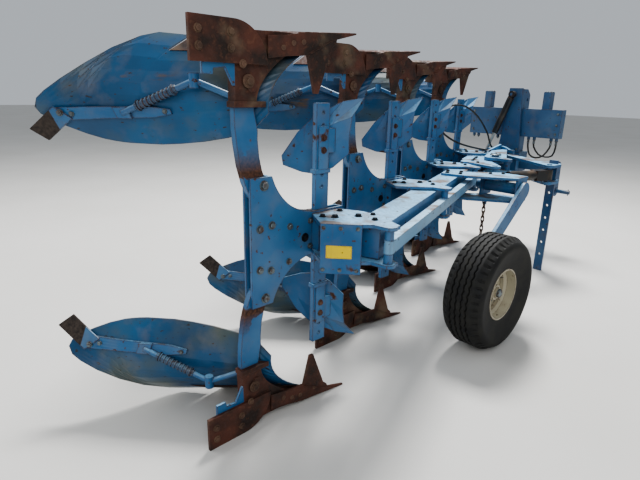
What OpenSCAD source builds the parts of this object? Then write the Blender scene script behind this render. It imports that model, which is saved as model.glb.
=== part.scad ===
// Reversible four-furrow mouldboard plough, parked on its lower bodies.
// X points forward along the line of travel, Y to the left, Z up.
// The origin lies on the ground under the middle of the machine's box.
// The upper bodies mirror the lower ones through the level of the beam.

/* [Layout] */
// Distance between two bodies along the beam
pitch = 1000; // [920:10:1150]
// Angle of the beam to the line of travel, in degrees
beam_angle = 19.8; // [18:0.1:24]
// Height of the beam's middle above the share tips
beam_z = 867; // [820:1:920]
// Front share tip, forward of the machine's middle
tip_x = 1773; // [1700:1:1850]
// Front share tip, left of the turning axis
tip_y = 276; // [200:1:340]

/* [Beam] */
// Width and height of the square beam
beam_w = 140; // [120:1:150]
// Wall of the beam
beam_wall = 10; // [6:1:16]
// Beam left beyond the front body's pivot
beam_front = 80; // [70:1:85]
// Beam left beyond the rear body's pivot
beam_rear = 85; // [60:1:110]
// Width of the control bar beside the beam
bar_w = 44; // [36:1:50]
// Height of the control bar
bar_h = 60; // [50:1:80]

/* [Console plates] */
// Thickness of the plates above and below the beam
console_t = 16; // [12:1:20]
// Running gap between beam and plates
console_gap = 5; // [5:1:8]
// Radius of the pin that carries a body on the beam
pivot_r = 25; // [18:1:30]
// Radius of the pins of the control bar
link_r = 13; // [10:1:14]
// Radial clearance of a pin in its hole
pin_fit = 0.05; // [0.03:0.01:0.09]

/* [Legs] */
// Thickness of each side plate
cheek_t = 12; // [8:1:16]
// Thickness of a leg
leg_t = 30; // [24:1:36]
// Right face of the near side plate, left of the share tip
cheek_y = 50; // [46:1:60]
// Radius of the hollow edges of the side plates
cheek_r = 265; // [240:1:280]

/* [Mouldboards] */
// Thickness of a mouldboard
board_t = 8; // [6:1:12]
// Thickness of a share
share_t = 12; // [10:1:14]
// Angle of the share to the line of travel
share_angle = 40; // [38:1:44]
// Angle of the top of the mouldboard to the line of travel
top_angle = 51; // [48:1:54]
// How far the mouldboard leans back at its middle
board_depth = 300; // [280:1:310]
// Height of the landside bar
landside_h = 150; // [130:1:160]
// Width of the skimmer's stalk
stalk_w = 80; // [60:1:90]

/* [Depth wheel] */
// Radius of the tyre
tyre_r = 352; // [340:1:360]
// Width of the tyre
tyre_w = 250; // [230:1:255]
// Radius of the rim
rim_r = 160; // [150:1:170]
// Radius of the wheel's axle and of the arm's pin
axle_r = 22; // [18:1:26]

/* [Hitch] */
// Distance between the shoulders of the lower pins
hitch_w = 965; // [825:1:980]
// Radius of a lower hitch pin
hitch_pin_r = 18.3; // [14:0.1:18.3]
// Radius of the hole for the top link's pin
top_link_r = 16; // [12.7:0.1:16]
// Height of the lower pins
hitch_z = 620; // [580:1:660]
// Height of the top link's pin
top_link_z = 1450; // [1380:1:1480]
// Hitch pins, forward of the turning head
hitch_reach = 290; // [285:1:330]

/* [Hidden] */
$fn = 48;

blue = "#3f77a6";
rust = "#6b3d2b";
steel = "#9aa0a3";
black = "#1c1d1f";
ivory = "#c9bd9c";

// Gap between two pieces that bear on each other
seat = 0.3;

// Step from one body to the next one behind it
step = [-pitch * cos(beam_angle), -pitch * sin(beam_angle), 0];
// Share tip of body k, counted from the front
function tip(k) = [tip_x, tip_y, 0] + (k - 1) * step;
// Pivot of a body on the beam and its pin at the control bar, from the share tip
pivot = [-35, -171, beam_z];
link = [-90, -315, beam_z];
half = beam_w / 2;
plate_z0 = half + console_gap;
plate_z1 = plate_z0 + console_t;
bar_z = bar_h / 2;

// Swing axis of the beam and what stands around it, seen from above
front_pivot = tip(1) + pivot;
swing = [front_pivot[0] - 488, front_pivot[1] - 375];
swing_r = 30;
width_pin = swing + [-320, -170];
lever_pin = swing + [200, -380];
stand_at = swing + [310, -370];
cylinder_pin_r = 20;
swing_plate_t = 20;
fork_z0 = half + swing_plate_t + 6;
fork_t = 25;
fork_z1 = fork_z0 + fork_t;
// Pin of the control bar on the turning head, and its foot on the bar's line
guide = [swing[0], swing[1], beam_z] + link - pivot;
bar_dir = step / pitch;
bar_foot = tip(1) + link + ((guide - tip(1) - link) * bar_dir) * bar_dir;

// Turning head, crank and headstock from rear to front
head_x = tip_x + 87;
head_t = 40;
crank_x = head_x + head_t;
turn_x = head_x + 125;
tower_x = turn_x + 37;
hitch_x = head_x + hitch_reach;
front_x = hitch_x + 80;
shaft_r = 55;
housing_z = 90;

module at_body(k) {
  translate(tip(k)) children();
}

// One copy as it is and one mirrored through the level of the beam
module both() {
  children();
  translate([0, 0, 2 * beam_z]) mirror([0, 0, 1]) children();
}

// Frame along the beam with its origin at the front pivot
module along_beam() {
  translate(front_pivot) rotate([0, 0, beam_angle]) children();
}

module flat(z0, z1) {
  translate([0, 0, z0]) linear_extrude(z1 - z0) children();
}

// Upright plate in the line of travel, its outline in X and Z
module upright(y0, t) {
  translate([0, y0 + t, 0]) rotate([90, 0, 0]) linear_extrude(t) children();
}

// Upright plate across the line of travel, its outline in Y and Z
module across(x0, t) {
  translate([x0, 0, 0]) rotate([90, 0, 90]) linear_extrude(t) children();
}

// Round bar along X from x0, and one along Y from y0
module rod_x(at, r, h) {
  translate(at) rotate([0, 90, 0]) cylinder(r = r, h = h);
}

module rod_y(at, r, h) {
  translate(at) rotate([-90, 0, 0]) cylinder(r = r, h = h);
}

// Round bar from one point to another
module bar(a, b, r) {
  d = b - a;
  translate(a) rotate([0, acos(d[2] / norm(d)), atan2(d[1], d[0])])
    cylinder(r = r, h = norm(d), $fn = 24);
}

// Working face of a mouldboard: point at y from the landside and height z
// Form: foot angle, top angle, depth, height where it stands plumb, height
main_face = [share_angle, top_angle, board_depth, 330, 490];
skim_face = [45, 53, 70, 150, 330];
function face_angle(z, s) = s[0] + (s[1] - s[0]) * z / s[4];
function face_depth(z, s) =
  s[2] * (1 - pow(1 - min(z, s[3]) / s[3], 2)) / sin(face_angle(z, s));
function face(y, z, s) =
  [-y / tan(face_angle(z, s)) - face_depth(z, s), y, z];
// The same point moved back, square to the face
function behind(y, z, s, d) =
  face(y, z, s) - d * [sin(face_angle(z, s)), cos(face_angle(z, s)), 0];

// Shell between the lower and upper edge of a table, from d0 to d1 behind the face
// Table columns: y, lowest z, highest z
module shell(table, s, d0, d1, rows) {
  n = len(table);
  front = [for (c = table, r = [0:rows]) behind(c[0], c[1] + (c[2] - c[1]) * r / rows, s, d0)];
  back = [for (c = table, r = [0:rows]) behind(c[0], c[1] + (c[2] - c[1]) * r / rows, s, d1)];
  m = rows + 1;
  off = n * m;
  function id(c, r) = c * m + r;
  skin = [for (c = [0:n - 2], r = [0:rows - 1])
    [id(c, r), id(c, r + 1), id(c + 1, r + 1), id(c + 1, r)]];
  faces = concat(
    [for (f = skin) each [[f[0], f[1], f[2]], [f[0], f[2], f[3]]]],
    [for (f = skin) each [[f[2] + off, f[1] + off, f[0] + off],
                          [f[3] + off, f[2] + off, f[0] + off]]],
    [for (c = [0:n - 2]) each [
      [id(c + 1, 0) + off, id(c, 0) + off, id(c, 0)],
      [id(c + 1, 0), id(c + 1, 0) + off, id(c, 0)],
      [id(c + 1, rows), id(c, rows), id(c, rows) + off],
      [id(c + 1, rows) + off, id(c + 1, rows), id(c, rows) + off]]],
    [for (r = [0:rows - 1]) each [
      [id(0, r + 1) + off, id(0, r + 1), id(0, r)],
      [id(0, r) + off, id(0, r + 1) + off, id(0, r)],
      [id(n - 1, r) + off, id(n - 1, r), id(n - 1, r + 1)],
      [id(n - 1, r + 1) + off, id(n - 1, r) + off, id(n - 1, r + 1)]]]);
  polyhedron(concat(front, back), faces);
}

// Outlines in columns: y, lowest z, highest z
seam_z = 96;
board_edges = [[42, seam_z + seat, 328], [100, seam_z + seat, 398], [180, seam_z + seat, 430],
  [260, seam_z + seat, 449], [340, seam_z + seat, 461], [406, seam_z + seat, 467],
  [414, 30, 467], [510, 20, 465], [537, 38, 462], [562, 90, 458], [592, 152, 451],
  [640, 212, 432], [690, 260, 403], [722, 290, 378], [745, 325, 352]];
share_edges = [[20, 0, seam_z], [120, 0, seam_z], [220, 0, seam_z], [320, 0, seam_z],
  [402, 4, seam_z]];
skim_edges = [[0, 0, 250], [60, 18, 318], [125, 80, 352], [180, 158, 345], [250, 270, 315]];

module boards(k) {
  color(blue) at_body(k) both() shell(board_edges, main_face, 0, board_t, 9);
}

// Rail pressed along the back of the board, the worn strip at its tail, and the
// two rods of the stay with the joint between them
rail_t = 10;
rail_d = board_t + 2 * seat;
strip_d = rail_d + rail_t + seat;
rail_edges = [[330, 322, 340], [390, 312, 356], [560, 318, 366], [690, 326, 378]];
strip_edges = [[649, 366, 370], [681, 322, 392], [784, 394, 463], [816, 415, 419]];
lug_edges = [[455, 318, 362], [500, 318, 362]];
stay_r = 12;
stay_points = [[-575, cheek_y + cheek_t + leg_t + 9.4, 268], [-678, 205, 212],
  behind(478, 340, main_face, strip_d + 8)];

module stays(k) {
  color(blue) at_body(k) both() {
    shell(rail_edges, main_face, rail_d, rail_d + rail_t, 4);
    shell(strip_edges, main_face, strip_d, strip_d + 8, 1);
    shell(lug_edges, main_face, strip_d, strip_d + 12, 1);
    bar(stay_points[0], stay_points[1], stay_r);
    bar(stay_points[1], stay_points[2], stay_r);
    translate(stay_points[1] - [0, 0, 28]) cylinder(r = 20, h = 56, $fn = 32);
  }
}

frog_y = cheek_y + cheek_t + leg_t;
foot_z = 305;

// Back of the share or mouldboard where the frog's left face meets it, less the gap there
share_bed = 1.5;
board_bed = 0.4;
function frog_x(z) =
  let (t = z <= seam_z ? share_t : board_t, gap = z <= seam_z ? share_bed : board_bed,
    a = face_angle(z, main_face))
  face(frog_y + t * cos(a), z, main_face)[0] - t * sin(a) - gap;

// Frame of the share's plate, which runs from the landside out to the share's point
module on_plate() {
  translate([-455, 32.6, 0]) rotate([0, 0, -3.3]) children();
}

module shares(k) {
  color(rust) at_body(k) both() {
    shell(share_edges, main_face, 0, share_t, 2);
    // chisel point
    hull() {
      translate([-10, 4, 0]) cube([10, 10, 6]);
      on_plate() translate([150, 1, 20]) cube([10, 10, 60]);
    }
    // landside plate with its upright fin
    on_plate() upright(0, 12) polygon([[0, 42], [91, 34], [185, 16], [355, 8], [343, 50],
      [322, 66], [251, 252], [229, 252], [191, 104], [91, 112], [0, 124]]);
  }
}

module landsides(k) {
  heel = -790;
  toe = -460;
  color(rust) at_body(k) both() {
    // landside bar, its front end rounded down to the ground
    upright(30, 15) intersection() {
      translate([heel, 0]) square([toe - heel, landside_h]);
      union() {
        translate([heel, 0]) square([toe - heel - landside_h, landside_h]);
        translate([toe - landside_h, landside_h]) circle(landside_h, $fn = 96);
      }
    }
    // frog that carries share, board and landside
    upright(45, frog_y - 45) polygon(concat(
      [[-604, foot_z], [-600, 130], [-570, 118], [-565, 30], [-364, 24]],
      [for (z = [26, 43, 60, 78, seam_z, seam_z + seat / 2]) [frog_x(z), z]],
      [for (z = [112:15:foot_z - 1]) [frog_x(z), z]], [[frog_x(foot_z), foot_z]]));
    // flange under the leg's foot, ring of the leg's bolt
    flat(foot_z - 22, foot_z) polygon([[-610, 40], [-464, 40],
      [frog_x(foot_z) - 4, frog_y], [-610, frog_y]]);
    rod_y([-529, 38, 230], 20, 8);
    // seat of the share's plate on the frog
    on_plate() upright(12 + seat, 14) translate([80, 36]) square([75, 50]);
  }
}

// Side view of a leg, from its foot on the frog to its head in the side plates
leg_path = concat([[-598, foot_z]], [for (z = [foot_z:15:400]) [frog_x(z), z]],
  [[-491, 430], [-484, 500], [-471, 555], [-448, 610], [-425, 665], [-530, 665],
    [-558, 600], [-578, 530], [-590, 450], [-597, 380]]);

module legs(k) {
  color(blue) at_body(k) both() upright(cheek_y + cheek_t, leg_t) polygon(leg_path);
}

// Side view of the side plates, from the level of the beam
cheek_back = -540;
cheek_top = 285;
hollow_at = [-175, cheek_r + 100];

module cheek_outline() {
  difference() {
    union() {
      translate([cheek_back, -cheek_top]) square([hollow_at[0] - cheek_back, 2 * cheek_top]);
      translate([hollow_at[0] - 1, -100]) square([1 - hollow_at[0], 200]);
    }
    for (s = [-1, 1]) translate([hollow_at[0], s * hollow_at[1]]) circle(cheek_r, $fn = 96);
  }
}

module cheeks(k) {
  strip = 12;
  color(blue) at_body(k) translate([0, 0, beam_z]) {
    for (y = [cheek_y, cheek_y + cheek_t + leg_t]) upright(y, cheek_t) cheek_outline();
    // strips welded along the hollow edges
    for (s = [-1, 1])
      upright(cheek_y + cheek_t, leg_t) intersection() {
        cheek_outline();
        difference() {
          translate([hollow_at[0], s * hollow_at[1]]) circle(cheek_r + strip, $fn = 96);
          translate([hollow_at[0], s * hollow_at[1]]) circle(cheek_r, $fn = 96);
        }
      }
    // head plate that closes the arms
    translate([-strip, cheek_y + cheek_t, -100]) cube([strip, leg_t, 200]);
  }
}

// Plan of the plates above and below the beam
console_rear = [-285, -95];
console_side = [-165, -228];

module console_plan() {
  polygon([console_rear, [-200, cheek_y], [-30, cheek_y], [20, -60], [25, -150],
    [-50, -340], [-122, -335], [-130, -255], console_side]);
  translate([link[0], link[1]]) circle(34);
  translate([pivot[0], pivot[1]]) circle(62);
}

module console(k) {
  end_run = unit(console_side - console_rear);
  end_in = [-end_run[1], end_run[0]] * 3;
  end_out = [end_run[1], -end_run[0]] * 8;
  color(blue) at_body(k) translate([0, 0, beam_z]) {
    for (z = [plate_z0, -plate_z1]) flat(z, z + console_t) console_plan();
    // pin through the beam and its collars
    translate([pivot[0], pivot[1], -plate_z1]) cylinder(r = pivot_r, h = 2 * plate_z1);
    for (s = [-1, 1]) {
      translate([pivot[0], pivot[1], s * (half + plate_z0) / 2])
        cylinder(r = 45, h = console_gap - 2 * seat, center = true);
      // pin tube and collar of the control bar
      translate([link[0], link[1], s * (bar_z + seat + plate_z0) / 2])
        cylinder(r = 20, h = plate_z0 - bar_z - seat, center = true);
    }
    translate([link[0], link[1], -plate_z1]) cylinder(r = link_r, h = 2 * plate_z1);
    // web that joins plates and side plates
    translate([-200, cheek_y - 50, -plate_z0]) cube([160, 50, 2 * plate_z0]);
    // plate that closes the rear end of the machine
    if (k == 4)
      flat(-135, plate_z1) polygon([console_rear + end_in, console_side + end_in,
        console_side + end_in + end_out, console_rear + end_in + end_out]);
  }
}

module control_bar() {
  ends = [[tip(1) + link, tip(4) + link], [guide, bar_foot]];
  color(blue) difference() {
    for (e = ends)
      translate([0, 0, beam_z - bar_z]) linear_extrude(bar_h) hull()
        for (p = e) translate([p[0], p[1]]) circle(bar_w / 2);
    for (p = concat([for (k = [1:4]) tip(k) + link], [guide]))
      translate(p) cylinder(r = link_r + pin_fit, h = bar_h + 2, center = true);
  }
}

module main_beam() {
  len_b = 3 * pitch + beam_front + beam_rear;
  inner = beam_w - 2 * beam_wall;
  color(blue) along_beam() difference() {
    translate([beam_front - len_b, -half, -half]) cube([len_b, beam_w, beam_w]);
    translate([beam_front - len_b + beam_wall, -inner / 2, -inner / 2])
      cube([len_b - 2 * beam_wall, inner, inner]);
    for (k = [0:3])
      translate([-k * pitch, 0, 0])
        cylinder(r = pivot_r + pin_fit, h = beam_w + 2, center = true);
  }
}

// Plan of the plates that hang the beam on its swing axis
module swing_plan() {
  hull() {
    translate(swing) circle(70);
    translate(swing + [-120, 175]) circle(60);
    translate(swing + [80, 245]) circle(60);
  }
  hull() {
    translate(swing + [-240, 80]) circle(50);
    translate(width_pin) circle(45);
    translate(swing + [-70, 70]) circle(50);
  }
  hull() {
    translate(swing + [-250, 120]) circle(50);
    translate(swing + [80, 240]) circle(50);
  }
}

module swing_plates() {
  color(blue) translate([0, 0, beam_z]) {
    difference() {
      for (z = [half, -half - swing_plate_t]) flat(z, z + swing_plate_t) swing_plan();
      translate([swing[0], swing[1], 0])
        cylinder(r = swing_r + pin_fit, h = 4 * half, center = true);
    }
    translate([width_pin[0], width_pin[1], -half - swing_plate_t - 6])
      cylinder(r = cylinder_pin_r, h = beam_w + 2 * swing_plate_t + 12);
  }
}

module swing_head() {
  rim_w = 130;
  color(blue) translate([0, 0, beam_z]) {
    // pin of the beam
    translate([swing[0], swing[1], -fork_z1 - 14]) cylinder(r = swing_r, h = 2 * fork_z1 + 28);
    for (z = [fork_z0, -fork_z1])
      flat(z, z + fork_t) {
        hull() {
          translate(swing) circle(90);
          translate([head_x, -60]) square([20, 120]);
        }
        hull() {
          translate(swing) circle(60);
          translate([guide[0], guide[1]]) circle(32);
        }
      }
    // pin of the control bar between its two collars
    translate([guide[0], guide[1], -fork_z0]) cylinder(r = link_r, h = 2 * fork_z0);
    for (s = [-1, 1])
      translate([guide[0], guide[1], s * (bar_z + seat + fork_z0) / 2])
        cylinder(r = 20, h = fork_z0 - bar_z - seat, center = true);
    // ribs that stiffen the fork towards the head plate
    for (s = [-1, 1]) upright(-10, 20)
      polygon([[head_x - 260, s * fork_z1], [head_x, s * fork_z1], [head_x, s * (fork_z1 + 48)]]);
    // unions of the hose
    for (at = [frame_route[0], frame_route[len(frame_route) - 1]])
      rod_x([head_x - 25, at[1], at[2]], 13, 26);
    // head plate, shaft and crank
    translate([head_x, -rim_w, -fork_z1]) cube([head_t, 2 * rim_w, 2 * fork_z1]);
    rod_x([head_x, 0, 0], 150, head_t);
    rod_x([crank_x, 0, 0], shaft_r, front_x + 10 - crank_x);
    translate([crank_x, 0, 0]) rotate([0, 90, 0]) linear_extrude(20) hull() {
      circle(75);
      translate([beam_z - turn_eye[2], turn_eye[1]]) circle(38);
    }
    rod_x([crank_x + 19, turn_eye[1], turn_eye[2] - beam_z], 30, turn_pin_x - 0.5 - crank_x - 19);
  }
}

stand_t = 20;
stand_w = 70;
stand_top = beam_z + 110;
arm_z = fork_z0 - 15;

module lever_arm() {
  color(blue) translate([0, 0, beam_z]) difference() {
    union() {
      // arm to the width cylinder, above and below it
      for (z = [arm_z - fork_t, -arm_z]) flat(z, z + fork_t) hull() {
        translate(lever_pin) circle(45);
        translate([head_x - 40, -120]) square([40, 60]);
        translate(stand_at) circle(60);
      }
      translate([head_x - 60, -200, -arm_z]) cube([60, 140, 2 * arm_z]);
      translate([lever_pin[0], lever_pin[1], -arm_z - 8])
        cylinder(r = cylinder_pin_r, h = 2 * arm_z + 16);
    }
    // slot for the stand
    translate([stand_at[0], stand_at[1], 0])
      cube([stand_t + 2 * seat, stand_w + 2 * seat, 4 * arm_z], center = true);
  }
}

module parking_stand() {
  hole_pitch = 110;
  color(blue) difference() {
    translate([stand_at[0] - stand_t / 2, stand_at[1] - stand_w / 2, 0])
      cube([stand_t, stand_w, stand_top]);
    for (z = [150:hole_pitch:700])
      rod_x([stand_at[0] - stand_t, stand_at[1], z], 11, 2 * stand_t);
  }
}

// Width cylinder, lying between the lever arm's pin and the pin of the swing plates
width_run = width_pin - lever_pin;
width_dir = atan2(width_run[1], width_run[0]);
width_len = norm(width_run);

module width_line() {
  translate([lever_pin[0], lever_pin[1], beam_z]) rotate([0, 0, width_dir])
    rotate([0, 90, 0]) children();
}

module width_cylinder() {
  color(black) difference() {
    width_line() union() {
      translate([0, 0, 150]) cylinder(r = 42, h = width_len - 290);
      rotate([0, 90, 0]) cylinder(r = 34, h = 84, center = true);
      // square valve block at the cylinder's foot
      translate([-42, -42, 36]) cube([84, 84, 120]);
      translate([-30, -22, 0]) cube([60, 44, 40]);
    }
    translate([lever_pin[0], lever_pin[1], beam_z])
      cylinder(r = cylinder_pin_r + pin_fit, h = 4 * arm_z, center = true);
    width_line() translate([0, 0, 60]) cylinder(r = cylinder_pin_r + pin_fit, h = width_len);
  }
}

module width_rod() {
  // the eye's hole leaves room for the small drift of the swinging pin
  drift = 0.6;
  color(steel) difference() {
    width_line() union() {
      translate([0, 0, 150]) cylinder(r = cylinder_pin_r, h = width_len - 180);
      translate([0, 0, width_len]) rotate([0, 90, 0]) cylinder(r = 34, h = 50, center = true);
    }
    translate([width_pin[0], width_pin[1], beam_z])
      cylinder(r = cylinder_pin_r + drift, h = 4 * half, center = true);
  }
}

// Turning cylinder from the tower's head to the crank
turn_top = [turn_x, 10, beam_z + 633];
turn_eye = [turn_x, 220, beam_z + 60];
turn_run = turn_eye - turn_top;
turn_len = norm(turn_run);
turn_tilt = atan2(turn_run[1], -turn_run[2]);
turn_pin_x = turn_x - 35;
turn_pin_r = 15;
barrel_r = 30;

module tower() {
  depth = hitch_x + 50 - tower_x;
  foot = beam_z + housing_z;
  top = beam_z + 690;
  color(blue) difference() {
    union() {
      // rear plate, narrower at its head
      across(tower_x, 20) polygon([[-112, foot], [112, foot], [70, foot + 330],
        [60, top], [-70, top], [-84, foot + 330]]);
      for (y = [-70, 50]) upright(y, 20)
        polygon([[tower_x + 19, foot], [tower_x + depth, foot], [tower_x + depth, top - 60],
          [tower_x + depth - 60, top - 8], [tower_x + 19, top - 8]]);
      // pin and shoulder of the turning cylinder
      rod_x(turn_top - [25, 0, 0], turn_pin_r, tower_x - turn_x + 30);
      rod_x(turn_top + [22 + seat, 0, 0], 24, tower_x - turn_x - 22);
    }
    rod_y([hitch_x, -200, top_link_z], top_link_r, 400);
  }
}

// Wide plate of the headstock, with the housings of two springs on top
cross_z = [1110, 1370];
cross_y = [70 + seat, 455];
cross_x = [tower_x + 28, tower_x + 118];

module cross_plate() {
  color(blue) for (s = [-1, 1]) {
    translate([cross_x[0], s > 0 ? cross_y[0] : -cross_y[1], cross_z[0]])
      cube([cross_x[1] - cross_x[0], cross_y[1] - cross_y[0], cross_z[1] - cross_z[0]]);
    translate([cross_x[0] + 10, s * 295 - 36, cross_z[1]]) cube([70, 72, 155]);
    // unions of the hoses
    for (y = [160, 215, 375, 425])
      translate([cross_x[0] + 45, s * y, cross_z[0] - 26]) cylinder(r = 14, h = 27, $fn = 24);
  }
}

bar_low = [-68, 24];

module hitch_bar() {
  plate_y = hitch_w / 2 - 35;
  reach = hitch_x - 15;
  color(blue) for (s = [-1, 1]) {
    // cross bar on either side of the housing
    translate([hitch_x - 90, s > 0 ? 120 + seat : -plate_y, beam_z + bar_low[0]])
      cube([90, plate_y - 120 - seat, bar_low[1] - bar_low[0]]);
    // drop arm, hooked round the lower pin
    upright(s > 0 ? plate_y - 1 : -plate_y - 29, 30) {
      hull() {
        translate([reach, hitch_z]) circle(52, $fn = 32);
        translate([reach - 20, beam_z - 20]) circle(55, $fn = 32);
      }
    }
    translate([reach, s * (hitch_w / 2 - 10), hitch_z]) rotate([s * -90, 0, 0])
      cylinder(r = hitch_pin_r, h = 130);
    translate([reach, s * (hitch_w / 2 - 10), hitch_z]) rotate([s * -90, 0, 0])
      cylinder(r = 30, h = 10);
  }
}

module turn_housing() {
  color(blue) difference() {
    union() {
      rod_x([tower_x - 2, 0, beam_z], housing_z, front_x + 2 - tower_x);
      translate([tower_x, -120, beam_z - housing_z - 10])
        cube([front_x - 30 - tower_x, 240, 2 * housing_z + 10]);
    }
    rod_x([crank_x, 0, beam_z], shaft_r + pin_fit, front_x + 100 - crank_x);
  }
}

module turn_line() {
  translate(turn_top) rotate([turn_tilt, 0, 0]) mirror([0, 0, 1]) children();
}

module turn_cylinder() {
  color(black) difference() {
    turn_line() union() {
      translate([0, 0, 34]) cylinder(r = barrel_r, h = 356);
      rotate([0, 90, 0]) cylinder(r = 30, h = 44, center = true);
      translate([-22, -20, 0]) cube([44, 40, 40]);
    }
    turn_line() translate([0, 0, 60]) cylinder(r = turn_pin_r + pin_fit, h = 400);
    turn_line() rotate([0, 90, 0]) cylinder(r = turn_pin_r + pin_fit, h = 80, center = true);
  }
}

module turn_rod() {
  color(steel) turn_line() {
    translate([0, 0, 230]) cylinder(r = turn_pin_r, h = turn_len - 240);
    translate([0, 0, turn_len]) rotate([0, 90, 0]) cylinder(r = 30, h = 40, center = true);
    translate([turn_pin_x - turn_x, 0, turn_len]) rotate([0, 90, 0])
      cylinder(r = turn_pin_r, h = 62);
  }
}

// Depth wheel on the right of the beam, on an arm that swings over with the plough
wheel_seat = tip(2.5) + pivot;
wheel_at = [wheel_seat[0] - 377, wheel_seat[1] - 592, tyre_r];
arm_pivot = [wheel_seat[0] + 273, beam_z];
arm_y = wheel_at[1] + tyre_w / 2 + 18;
arm_t = 25;
arm_fit = 0.2;
bracket_y = [arm_y + arm_t + 5, wheel_seat[1] - 97];
bracket_t = 16;

module wheel_bracket() {
  o = wheel_seat;
  color(blue) translate([0, 0, beam_z]) {
    for (z = [half, -half - bracket_t]) flat(z, z + bracket_t)
      polygon([[o[0] - 27, o[1] + 43], [o[0] + 133, o[1] + 103], [o[0] + 178, o[1] - 37],
        [o[0] + 353, o[1] - 217], [o[0] + 353, bracket_y[0]], [o[0] + 193, bracket_y[0]],
        [o[0] + 23, o[1] - 157]]);
    difference() {
      union() {
        rod_y([arm_pivot[0], bracket_y[0], 0], 40, bracket_y[1] - bracket_y[0]);
        for (y = [bracket_y[0], bracket_y[1] - 60])
          translate([arm_pivot[0] - 70, y, -half]) cube([140, bracket_t, beam_w]);
      }
      rod_y([arm_pivot[0], arm_y, 0], axle_r + arm_fit, 500);
    }
    // lug of the chain under the bracket
    translate([chain_at[0] - 4, chain_at[1] - 15, chain_top - beam_z - 8]) difference() {
      cube([8, 30, beam_z - half - bracket_t - chain_top + 8.5]);
      rod_x([-1, 15, 17], 9, 10);
    }
  }
}

// Safety chain that hangs under the wheel's bracket
chain_at = [arm_pivot[0] - 95, wheel_seat[1] - 205];
chain_top = beam_z - half - bracket_t - 30;
link_pitch = 34;
link_wire = 4.5;
link_side = 10;
chain_links = 9;

module chain() {
  // one link as a closed loop of wire, with a little play to the next one
  bend = link_pitch / 2 + 2 * seat + link_wire - link_side;
  loop = [for (a = [0:30:360]) if (a <= 180) [link_side * cos(a), 0, bend + link_side * sin(a)]];
  loop_low = [for (p = loop) [-p[0], 0, -p[2]]];
  color(rust) translate([chain_at[0], chain_at[1], chain_top])
    for (i = [0:chain_links - 1])
      translate([0, 0, -(i + 0.5) * link_pitch]) rotate([0, 0, i % 2 * 90])
        sweep(concat(loop, loop_low), link_wire, 6, true);
}

module wheel_arm() {
  color(blue) {
    upright(arm_y, arm_t) hull() {
      translate(arm_pivot) circle(55);
      translate([wheel_at[0], wheel_at[2]]) circle(45);
    }
    // axle
    rod_y([wheel_at[0], wheel_at[1] - 66, wheel_at[2]], axle_r, arm_y - wheel_at[1] + 68);
    // pin in the bracket and its washer
    rod_y([arm_pivot[0], arm_y + arm_t - 1, arm_pivot[1]], axle_r,
      bracket_y[1] - arm_y - arm_t + 14);
    rod_y([arm_pivot[0], bracket_y[1] + seat, arm_pivot[1]], 34, 9);
  }
}

// Half section of the tyre, from the rim outwards
module tyre_section() {
  shoulder = 45;
  difference() {
    hull() {
      for (s = [-1, 1])
        translate([tyre_r - 60, s * (tyre_w / 2 - shoulder)]) circle(shoulder);
      translate([tyre_r - 14, 0]) square([28, tyre_w - 110], center = true);
      translate([rim_r + 12, 0]) square([24, tyre_w - 60], center = true);
    }
    translate([0, -tyre_w]) square([rim_r, 2 * tyre_w]);
  }
}

module tyre() {
  color(black) translate(wheel_at) rotate([90, 0, 0])
    rotate_extrude($fn = 96) tyre_section();
}

module rim() {
  width = 190;
  wall = 10;
  well = 30;
  color(ivory) translate(wheel_at) rotate([90, 0, 0]) difference() {
    union() {
      // bed with its two flanges and the drop centre
      rotate_extrude() polygon([[rim_r - wall, -width / 2], [rim_r, -width / 2],
        [rim_r, width / 2], [rim_r - wall, width / 2], [rim_r - wall, 40],
        [rim_r - well, 25], [rim_r - well, -25], [rim_r - wall, -40]]);
      // dished disc and hub
      rotate_extrude() polygon([[0, 18], [70, 18], [100, 2], [rim_r - well + 2, 2],
        [rim_r - well + 2, -8], [96, -8], [66, 8], [0, 8]]);
      translate([0, 0, -60]) cylinder(r = 48, h = 110);
      translate([0, 0, 40]) cylinder(r = 34, h = 22);
    }
    cylinder(r = axle_r + pin_fit, h = 300, center = true);
  }
}

module skimmers(k) {
  stalk = [-150, 62, 25];
  color(blue) at_body(k) both() {
    difference() {
      translate([stalk[0] - stalk_w / 4, stalk[1], 290])
        cube([stalk_w, stalk[2], beam_z - 100 - seat - 290]);
      for (z = [330:55:700]) rod_y([stalk[0] + stalk_w / 4, stalk[1] - 5, z], 8, 50);
    }
    translate([90, 20, 265]) shell(skim_edges, skim_face, 0, 8, 3);
    // clamp between stalk and board
    flat(400, 510) polygon([[-91, 62], [-91, 87], [-69, 87], [-50.5, 62]]);
  }
}

// Hoses: tube swept along a smooth curve through its points
hose_r = 8;
function curve(p, i, t) =
  let (a = p[max(i - 1, 0)], b = p[i], c = p[i + 1], d = p[min(i + 2, len(p) - 1)])
  0.5 * (2 * b + (c - a) * t + (2 * a - 5 * b + 4 * c - d) * t * t
    + (3 * b - a - 3 * c + d) * t * t * t);
function route(p, n) = concat(
  [for (i = [0:len(p) - 2], j = [0:n - 1]) curve(p, i, j / n)], [p[len(p) - 1]]);
function unit(v) = v / norm(v);

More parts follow.
